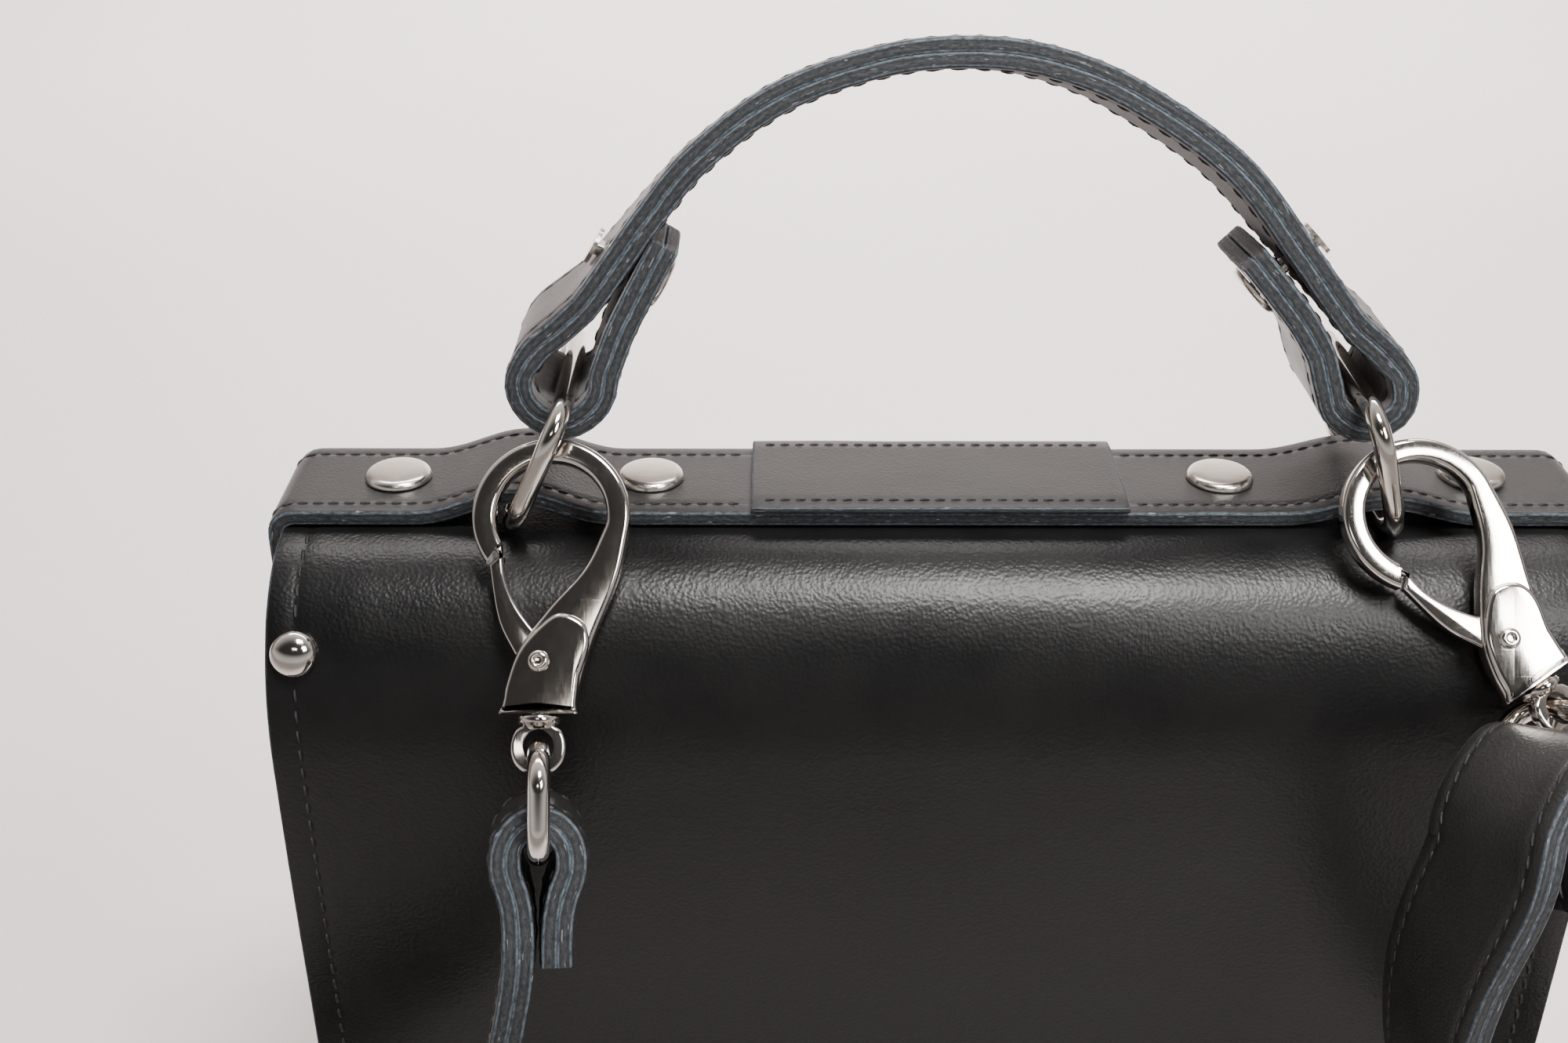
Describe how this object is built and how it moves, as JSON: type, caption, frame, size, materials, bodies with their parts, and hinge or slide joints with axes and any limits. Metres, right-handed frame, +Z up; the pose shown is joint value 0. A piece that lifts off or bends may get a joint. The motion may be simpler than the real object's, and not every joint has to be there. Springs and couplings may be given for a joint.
{
  "type": "satchel bag",
  "caption": "Upright black leather satchel with a riveted top strip, carrying handle on wire rings, front flap with turn lock and a clip-on shoulder strap hanging behind.",
  "frame": {"origin": "middle of the base, on the surface the bag stands on", "axes": "+X along the bag's width to the viewer's right when looking at its back, +Y from the back to the flap side, +Z up"},
  "size_m": [0.4122, 0.1497, 0.3098],
  "materials": {
    "body_leather": "black satin leather with a fine pebble grain",
    "strip_leather": "black smooth leather with raw grey cut edges and stitching",
    "strap_leather": "two-ply black leather with raw blue-grey edges and stitching",
    "nickel": "polished warm nickel with light scratches"
  },
  "bodies": {
    "bag": {"back_panel": "body_leather", "front_panel": "body_leather", "base_panel": "body_leather", "gusset_left": "body_leather", "gusset_right": "body_leather", "top_strip": "strip_leather", "label_patch": "strip_leather", "strip_rivet_1": "nickel", "strip_rivet_2": "nickel", "strip_rivet_3": "nickel", "strip_rivet_4": "nickel", "corner_rivet_left": "nickel", "corner_rivet_right": "nickel", "lock_base": "nickel"},
    "flap": {"flap": "body_leather", "lock_plate": "nickel"},
    "lock_knob": {"lock_knob": "nickel"},
    "ring_left": {"ring_left": "nickel"},
    "ring_right": {"ring_right": "nickel"},
    "handle": {"handle_outer_ply": "strap_leather", "handle_inner_ply": "strap_leather", "handle_rivet_left": "nickel", "handle_rivet_right": "nickel"},
    "shoulder_strap": {"strap_outer_ply": "strap_leather", "strap_inner_ply": "strap_leather", "link_ring_left": "nickel", "link_ring_right": "nickel", "swivel_left": "nickel", "swivel_right": "nickel"},
    "hook_left": {"hook_body_left": "nickel", "gate_pin_left": "nickel"},
    "hook_right": {"hook_body_right": "nickel", "gate_pin_right": "nickel"},
    "gate_left": {"gate_left": "nickel"},
    "gate_right": {"gate_right": "nickel"}
  },
  "joints": [
    {"name": "flap_hinge", "type": "hinge", "parent": "bag", "child": "flap", "pos_m": [0, 0.0184, 0.2093], "axis": [1, 0, 0], "range_deg": [0, 45]},
    {"name": "lock_turn", "type": "hinge", "parent": "bag", "child": "lock_knob", "pos_m": [0, 0.046, 0.092], "axis": [0, 1, 0], "range_deg": [0, 90]},
    {"name": "ring_left_sway", "type": "hinge", "parent": "bag", "child": "ring_left", "pos_m": [-0.0886, 0, 0.2143], "axis": [0, 1, 0], "range_deg": [-2, 4]},
    {"name": "handle_tilt", "type": "hinge", "parent": "ring_left", "child": "handle", "pos_m": [-0.07683, 0, 0.24025], "axis": [0, 1, 0], "range_deg": [-5, 3]},
    {"name": "ring_right_sway", "type": "hinge", "parent": "bag", "child": "ring_right", "pos_m": [0.0927, 0, 0.2131], "axis": [0, 1, 0], "range_deg": [-2, 4]},
    {"name": "strap_swing", "type": "hinge", "parent": "bag", "child": "shoulder_strap", "pos_m": [0, -0.0209, 0.2252], "axis": [1, 0, 0], "range_deg": [-100, 0]},
    {"name": "hook_left_swivel", "type": "hinge", "parent": "shoulder_strap", "child": "hook_left", "pos_m": [-0.08076, -0.0449, 0.19702], "axis": [0, 0.6428, 0.766], "range_deg": [-4, 3]},
    {"name": "hook_right_swivel", "type": "hinge", "parent": "shoulder_strap", "child": "hook_right", "pos_m": [0.11051, -0.04191, 0.20059], "axis": [-0.5592, 0.5329, 0.6351], "range_deg": [-4, 3]},
    {"name": "gate_left_hinge", "type": "hinge", "parent": "hook_left", "child": "gate_left", "pos_m": [-0.08076, -0.0449, 0.19702], "axis": [0, -0.766, 0.6428], "range_deg": [-22, 0], "stiffness_Nm_per_rad": 0.02, "springref_deg": 17.19},
    {"name": "gate_right_hinge", "type": "hinge", "parent": "hook_right", "child": "gate_right", "pos_m": [0.11051, -0.04191, 0.20059], "axis": [0, -0.766, 0.6428], "range_deg": [-22, 0], "stiffness_Nm_per_rad": 0.02, "springref_deg": 17.19}
  ],
  "couplings": [
    {"joint": "handle_tilt", "follows": "ring_left_sway", "ratio": -1.12},
    {"joint": "ring_right_sway", "follows": "ring_left_sway", "ratio": 0.951}
  ]
}
